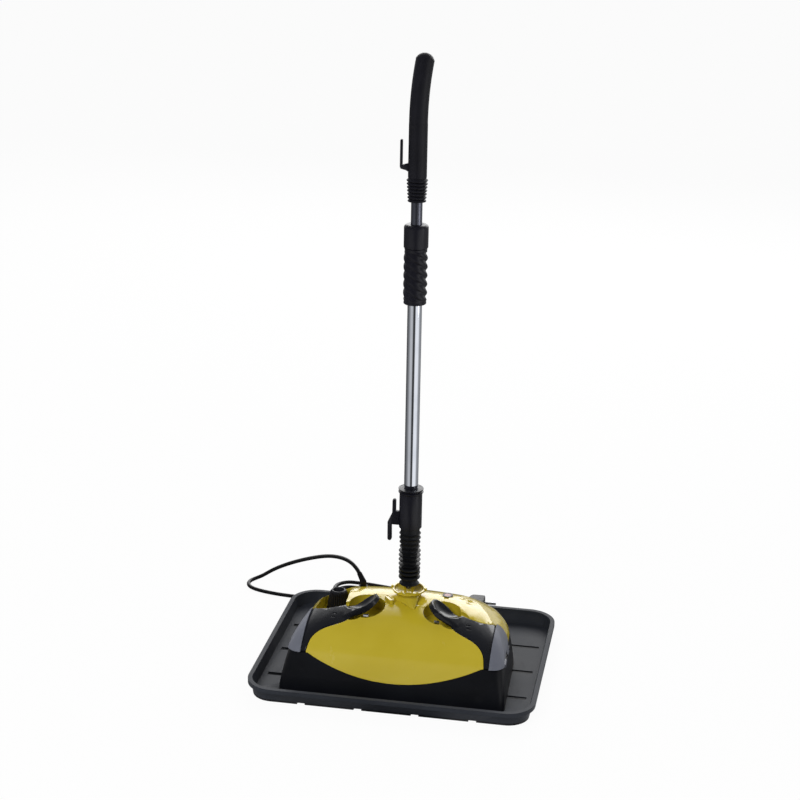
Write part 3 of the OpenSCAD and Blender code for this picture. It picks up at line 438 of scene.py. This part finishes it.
plug_low, plug_high = (Vector(v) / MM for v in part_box("plug_body"))
plug_x, plug_y, plug_z = plug_low.x, (plug_low.y + plug_high.y) / 2, (plug_low.z + plug_high.z) / 2
RIBS = []
for k in range(5):
    x, r = 1 + 4.2 * k, 4.3 + 0.55 * k
    RIBS += [(x, r - 0.5, 12), (x + 0.5, r, 12), (x + 2.6, r + 0.2, 12), (x + 3.1, r - 0.3, 12)]
PLUG_SHOULDER = [(23, 7.4, 12), (24.2, 9, 12), (26, 12.4, 12.1), (28, 15.2, 12.2), (30.5, 17.2, 12.3),
                 (33.5, 18.2, 12.35), (36, 18.4, 12.4), (50, 18.4, 12.4), (51.2, 18.0, 12.1),
                 (51.9, 17.2, 11.4)]
plug = piece(ringed(RIBS + PLUG_SHOULDER, round_plug, 64), "plug_body", name="plug", crease=42.0)
pins = piece(chamfered(merged("plug_pins"), 0.5), "plug_pins", name="pins")


def strap(x, width, thick):
    """A flat band drawn tight round the hank, higher at the front where the cord's end lies on top."""
    form = bmesh.new()
    low_y, high_y, low_z, corner = hank_low.y - 0.3, hank_y + COLUMN[0] + cord_r + 0.3, 0.35, 3.4
    for v in bmesh.ops.create_circle(form, cap_ends=False, segments=72, radius=1.0)["verts"]:
        reach = max(abs(v.co.x), abs(v.co.y))
        y = (low_y + high_y) / 2 + v.co.x / reach * (high_y - low_y) / 2
        high_z = LAYER[2] + cord_r + 0.1 - (LAYER[2] - LAYER[1]) * (y - low_y) / (high_y - low_y)
        z = (low_z + high_z) / 2 + v.co.y / reach * (high_z - low_z) / 2
        near = Vector((min(max(y, low_y + corner), high_y - corner),
                       min(max(z, low_z + corner), high_z - corner)))
        off = Vector((y, z)) - near
        if min(abs(off.x), abs(off.y)) > 0.01:
            off = off.normalized() * corner
        v.co = Vector((x, *(near + off))) * MM
    grown = bmesh.ops.extrude_edge_only(form, edges=form.edges[:])["geom"]
    side = [g for g in grown if isinstance(g, bmesh.types.BMVert)]
    bmesh.ops.translate(form, verts=side, vec=(width * MM, 0, 0))
    bmesh.ops.recalc_face_normals(form, faces=form.faces)
    bmesh.ops.solidify(form, geom=form.faces[:], thickness=-thick * MM)
    bmesh.ops.recalc_face_normals(form, faces=form.faces)
    return form


tie = piece(strap((left_x + right_x) / 2 - 15, 14, 0.45), "cord_hank", name="hank_tie", crease=40.0)


# ---- Head ----
FOOT, HEAD_W, HEAD_FRONT, HEAD_REAR, REAR_SHARE, CROWN_R = 4, 352, 148, 108, 0.97, 400
# Height above the foot, inset of the sides, front and rear, and the front and rear corners' radii.
STATIONS = [Vector(s) for s in (
    (0, 0, 0, 0, 12, 75), (23, 2.5, 9, 3, 14, 75), (53, 8, 33, 9, 18, 75), (66, 13, 47, 14, 22, 74),
    (79, 21.5, 63, 23, 28, 72), (89, 32, 79, 36, 32, 70), (97, 45, 98, 49, 34, 60),
    (101, 56, 115, 58, 28, 46), (105, 77, 143, 71, 14, 24), (107, 106, 158, 81, 6, 8))]


# Points on each of the outline's five arcs, and on the whole outline.
ARC_POINTS = 10
RING_POINTS = 5 * ARC_POINTS


def arc(x, y, r, start, end):
    """Points on an arc about (x, y), from one angle to another."""
    angles = [start + (end - start) * k / (ARC_POINTS - 1) for k in range(ARC_POINTS)]
    return [(x + r * math.cos(angle), y + r * math.sin(angle)) for angle in angles]


def outline(station, inset):
    """The head's plan outline at one station, drawn in by inset millimetres."""
    _, side, front, rear, rf, rb = station
    w, rf, rb = HEAD_W / 2 - side - inset, max(rf - inset, 3), max(rb - inset, 3)
    fx, fy = w - rf, front + inset + rf - HEAD_FRONT
    bow = HEAD_REAR - rear - inset - CROWN_R
    rx = REAR_SHARE * w - rb
    ry = bow + math.sqrt((CROWN_R - rb) ** 2 - rx * rx)
    away = math.hypot(rx - fx, ry - fy)
    lean = math.atan2(ry - fy, rx - fx) - math.acos((rf - rb) / away)
    turn = math.atan2(ry - bow, rx)
    return (arc(fx, fy, rf, -math.pi / 2, lean) + arc(rx, ry, rb, lean, turn)
            + arc(0, bow, CROWN_R, turn, math.pi - turn) + arc(-rx, ry, rb, math.pi - turn, math.pi - lean)
            + arc(-fx, fy, rf, math.pi - lean, 1.5 * math.pi))


def head_skin(inset):
    """The head's smooth skin, and a tree that finds its nearest point."""
    def on_outline(level, turn):
        height, points = level
        return (*points[round(turn * RING_POINTS) % RING_POINTS], FOOT + height - inset)

    levels = [(s[0], outline(s, inset)) for s in spline(STATIONS, 6)]
    form = ringed(levels, on_outline, RING_POINTS)
    return form, BVHTree.FromBMesh(form)


# Spacing of the cuts in millimetres, and a shift in metres that keeps them off flat faces.
CUT_STEP = (8.0, 8.0, 4.0)
CUT_SHIFT = 0.00013
# A point is laid on the skin where it is this near, in millimetres, and one of its faces looks nearly
# the same way, by this cosine.
SKIN_REACH = 2.4
SAME_WAY = 0.85


def flowed(form, inset, beyond):
    """Cuts a form fine and lays what is on the head's outside onto the smooth skin.

    What is nearer to the head's middle plane than beyond millimetres stays where it is."""
    skin_form, skin = head_skin(inset)
    spots = [v.co for v in form.verts]
    for axis in range(3):
        low, high = min(p[axis] for p in spots), max(p[axis] for p in spots)
        normal = Vector([float(k == axis) for k in range(3)])
        at = (math.floor(low / MM / CUT_STEP[axis]) + 1) * CUT_STEP[axis] * MM + CUT_SHIFT
        while at < high:
            bmesh.ops.bisect_plane(form, geom=form.verts[:] + form.edges[:] + form.faces[:], dist=0.00001,
                                   plane_co=normal * at, plane_no=normal)
            at += CUT_STEP[axis] * MM
    form.normal_update()
    moves = []
    for v in form.verts:
        if abs(v.co.x) < beyond * MM:
            continue
        spot, normal, _, _ = skin.find_nearest(v.co, SKIN_REACH * MM)
        if spot is not None and any(f.normal.dot(normal) > SAME_WAY for f in v.link_faces):
            moves.append((v, spot))
    for v, spot in moves:
        v.co = spot
    skin_form.free()
    return form


for node, inset, beyond in (("top_cover", 0.0, 0.0), ("lower_housing", 0.0, 0.0), ("lever_left", 0.0, 92.0),
                            ("lever_right", 0.0, 92.0), ("jaw_left", -2.0, 0.0), ("jaw_right", -2.0, 0.0)):
    piece(flowed(merged(node), inset, beyond), node, crease=30.0)


# ---- Pole ----
POLE = (0.0, 14.0)


def span(node):
    """A node's lowest and highest point, in millimetres."""
    low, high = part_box(node)
    return low[2] / MM, high[2] / MM


lock_low, lock_high = span("lock_grip")
STARTS, PITCH = 4, 13.4


def lobed(level, turn):
    """The twist sleeve: slanting lobes between two plain rings."""
    z, r = level
    if r is None:
        phase = ((z - lock_low) / PITCH + STARTS * turn) % 1.0
        crest = math.sin(math.pi * phase ** 0.72) ** 1.6
        fade = min(1.0, max(0.0, (min(z - lock_low, lock_high - z) - 4.0) / 3.0))
        r = 15.3 + fade * (2.9 * crest) + (1 - fade) * 1.2
    angle = 2 * math.pi * turn
    return POLE[0] + r * math.cos(angle), POLE[1] + r * math.sin(angle), z


# Inset from the sleeve's end, and radius; None stands for the lobes' own radius.
SLEEVE_RING = [(0.02, 11.3), (0, 16.4), (0.7, 17.2), (3.0, 17.2), (3.7, 16.6)]
sleeve = [(lock_low + z, r) for z, r in SLEEVE_RING]
sleeve += [(lock_low + 4.2 + (lock_high - lock_low - 8.4) * k / 96, None) for k in range(97)]
sleeve += [(lock_high - z, r) for z, r in reversed(SLEEVE_RING)]
piece(ringed(sleeve, lobed, 120), "lock_grip", crease=50.0)

boot_low, boot_high = span("bellows_boot")
boot = [(9.6, boot_low), (15.3, boot_low), (15.9, boot_low + 0.5), (15.6, boot_low + 1.2),
        (12.4, boot_low + 3.2), (11.2, boot_low + 6.5)]
# Three round folds near the foot, then eight thin fins.
for z in (12.0, 19.6, 26.4):
    boot += [(11.0, boot_low + z - 3.2)]
    boot += [(14.4 + 2.6 * math.cos(angle), boot_low + z + 2.5 * math.sin(angle))
             for angle in (math.radians(t) for t in range(-90, 91, 20))]
    boot += [(11.0, boot_low + z + 3.2)]
for k in range(8):
    z = boot_low + 34.0 + 7.5 * k
    core = 10.8 if z < boot_low + 40 else min(15.0, 10.8 + (z - boot_low - 40) * 0.115)
    r = 17.4 if k < 4 else 16.2 if k == 4 else core + 2.1
    boot += [(core, z - 2.6), (core + 0.3, z - 1.2), (core + 1.3, z - 0.65), (r - 0.4, z - 0.4), (r, z),
             (r - 0.4, z + 0.4), (core + 1.3, z + 0.65), (core + 0.3, z + 1.2), (core, z + 2.6)]
boot += [(15.0, boot_high - 0.3), (14.6, boot_high), (9.6, boot_high)]
piece(turned(boot, POLE, 72), "bellows_boot", crease=50.0)

cap_low, cap_high = (Vector(v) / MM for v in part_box("cap_knob"))
CAP = ((cap_low.x + cap_high.x) / 2, (cap_low.y + cap_high.y) / 2)
KNURLS = 13


def knurled(level, turn):
    """The filler cap: rounded knurls that fade out into its shoulder."""
    z, r, depth = level
    r += depth * (abs(math.sin(KNURLS * 2 * math.pi * turn)) ** 0.7 - 1)
    angle = 2 * math.pi * turn
    return CAP[0] + r * math.cos(angle), CAP[1] + r * math.sin(angle), cap_low.z + z


# Height above the cap's foot, radius and depth of the knurls.
CAP_SKIN = [(11.3, 0.5, 0), (11.3, 11.4, 0), (10.8, 12, 0), (0.3, 12, 0),
            (0, 12.4, 0), (0, 18.2, 0), (0.5, 18.9, 0.1), (1.2, 19.3, 0.8)]
CAP_SKIN += [(1.2 + 26.8 * k / 12, 19.4 - 5.0 * k / 12, 1.9) for k in range(13)]
CAP_SKIN += [(29.6, 13.9, 1.7), (31.2, 12.8, 1.1), (32.4, 11.6, 0.5), (33, 10.4, 0.1), (33, 9.2, 0),
             (32.4, 8.6, 0), (27, 8.3, 0), (26.2, 7.6, 0), (26, 0.5, 0)]
piece(ringed(CAP_SKIN, knurled, 16 * KNURLS), "cap_knob", crease=50.0)


# ---- Pieces that keep the CAD's form ----
# Nodes that a piece above stands for, and how many millimetres the others' sharp edges are rounded by.
DRESSED = {"top_cover", "lower_housing", "lever_left", "lever_right", "jaw_left", "jaw_right", "lock_grip",
           "bellows_boot", "plug_body", "plug_pins", "cord_tube", "cord_hank", "cap_knob"}
ROUNDED = {"lower_hook": 1.0, "upper_hook": 0.8, "grip_cap": 0.8, "lock_collar": 0.5, "hook_housing": 0.4,
           "lower_tube": 0.25, "upper_tube": 0.25}
for part in frame["record"]["subparts"]:
    node = part["node"]
    if node not in DRESSED:
        form = merged(node)
        if node in ROUNDED:
            chamfered(form, ROUNDED[node])
        piece(form, node)


# ---- Studio ----
def softbox(name, location, target, width, depth, radiance):
    """A rectangular white lamp of this radiance, whose size is in metres."""
    lamp = bpy.data.lights.new(name, "AREA")
    lamp.shape, lamp.size, lamp.size_y = "RECTANGLE", width, depth
    lamp.energy = radiance * math.pi * width * depth
    return aimed(bpy.data.objects.new(name, lamp), location, target)


# Its mirror image would cut a band across the smooth front of the head.
softbox("bank_front", (-1.3, -2.5, 2.7), (0.0, 0.0, 0.3), 2.8, 2.2, 4.2).visible_glossy = False
softbox("bank_rear", (0.1, 2.9, 1.7), (0.0, 0.0, 0.1), 3.4, 1.5, 3.6)
softbox("strip_right", (2.3, -0.7, 1.2), (0.0, 0.0, 0.5), 0.6, 2.0, 2.2)

floor_finish = Finish("studio_floor")
pale = floor_finish.mix(floor_finish.noise(2.0), (0.86, 0.86, 0.86, 1.0), (0.88, 0.88, 0.88, 1.0))
floor_finish.shader.inputs["Specular IOR Level"].default_value = 0.0
floor_finish.done(pale, 0.9)
tree = floor_finish.tree


def over(below, share, colour):
    """Lays a glow of this colour over a shader by a share."""
    glow, blend = tree.nodes.new("ShaderNodeEmission"), tree.nodes.new("ShaderNodeMixShader")
    floor_finish.join(colour, glow.inputs["Color"])
    tree.links.new(share.socket, blend.inputs[0])
    tree.links.new(below, blend.inputs[1])
    tree.links.new(glow.outputs[0], blend.inputs[2])
    return blend.outputs[0]


rays = tree.nodes.new("ShaderNodeLightPath")
around = floor_finish.node("TexGradient", {"gradient_type": "RADIAL"}, {"Vector": floor_finish.place},
                           output="Fac")
# Painted reflection: the floor glows in dark and light bands round the stand, shown only to glossy rays, so
# bright metal reflects stripes as if from black flags and white cards.
painted_reflection_bands = floor_finish.ramp(around, (0.0, 0.18), (0.055, 0.3), (0.13, 0.62), (0.205, 0.55), (0.235, 0.05),
                          (0.305, 0.05), (0.34, 1.0), (0.47, 1.0), (0.53, 0.35), (0.7, 0.25), (0.78, 0.05),
                          (0.9, 0.07), (1.0, 0.18))
shown = over(floor_finish.shader.outputs[0], Wire(floor_finish, rays.outputs["Is Glossy Ray"]), painted_reflection_bands)
shown = over(shown, Wire(floor_finish, rays.outputs["Is Camera Ray"]) * 0.95, (1.0, 1.0, 1.0, 1.0))
tree.links.new(shown, tree.nodes["Material Output"].inputs[0])
floor_mesh = bmesh.new()
bmesh.ops.create_grid(floor_mesh, x_segments=2, y_segments=2, size=30.0)
floor_data = bpy.data.meshes.new("floor")
floor_mesh.to_mesh(floor_data)
floor_mesh.free()
floor = bpy.data.objects.new("floor", floor_data)
floor.data.materials.append(floor_finish.material)
scene.collection.objects.link(floor)

world = bpy.data.worlds.new("studio")
scene.world = world
world.use_nodes = True
sky = world.node_tree
# The sky is bright behind the mop and dim in front of it, and plain white to the camera.
directions = sky.nodes.new("ShaderNodeTexCoord")
axes = sky.nodes.new("ShaderNodeSeparateXYZ")
sky.links.new(directions.outputs["Generated"], axes.inputs[0])
behind = sky.nodes.new("ShaderNodeValToRGB")
for position, level in ((0.7, 0.22), (0.86, 1.0)):
    element = behind.color_ramp.elements.new(position)
    element.color = (level, level, level, 1.0)
behind.color_ramp.elements[0].color = (0.12, 0.12, 0.12, 1.0)
shift = sky.nodes.new("ShaderNodeMath")
shift.operation = "MULTIPLY_ADD"
shift.inputs[1].default_value = shift.inputs[2].default_value = 0.5
sky.links.new(axes.outputs["Y"], shift.inputs[0])
sky.links.new(shift.outputs[0], behind.inputs[0])
path = sky.nodes.new("ShaderNodeLightPath")
backdrop = sky.nodes.new("ShaderNodeMix")
backdrop.data_type = "RGBA"
backdrop.inputs[7].default_value = (1.0, 1.0, 1.0, 1.0)
sky.links.new(path.outputs["Is Camera Ray"], backdrop.inputs[0])
sky.links.new(behind.outputs[0], backdrop.inputs[6])
sky.links.new(backdrop.outputs[2], sky.nodes["Background"].inputs[0])
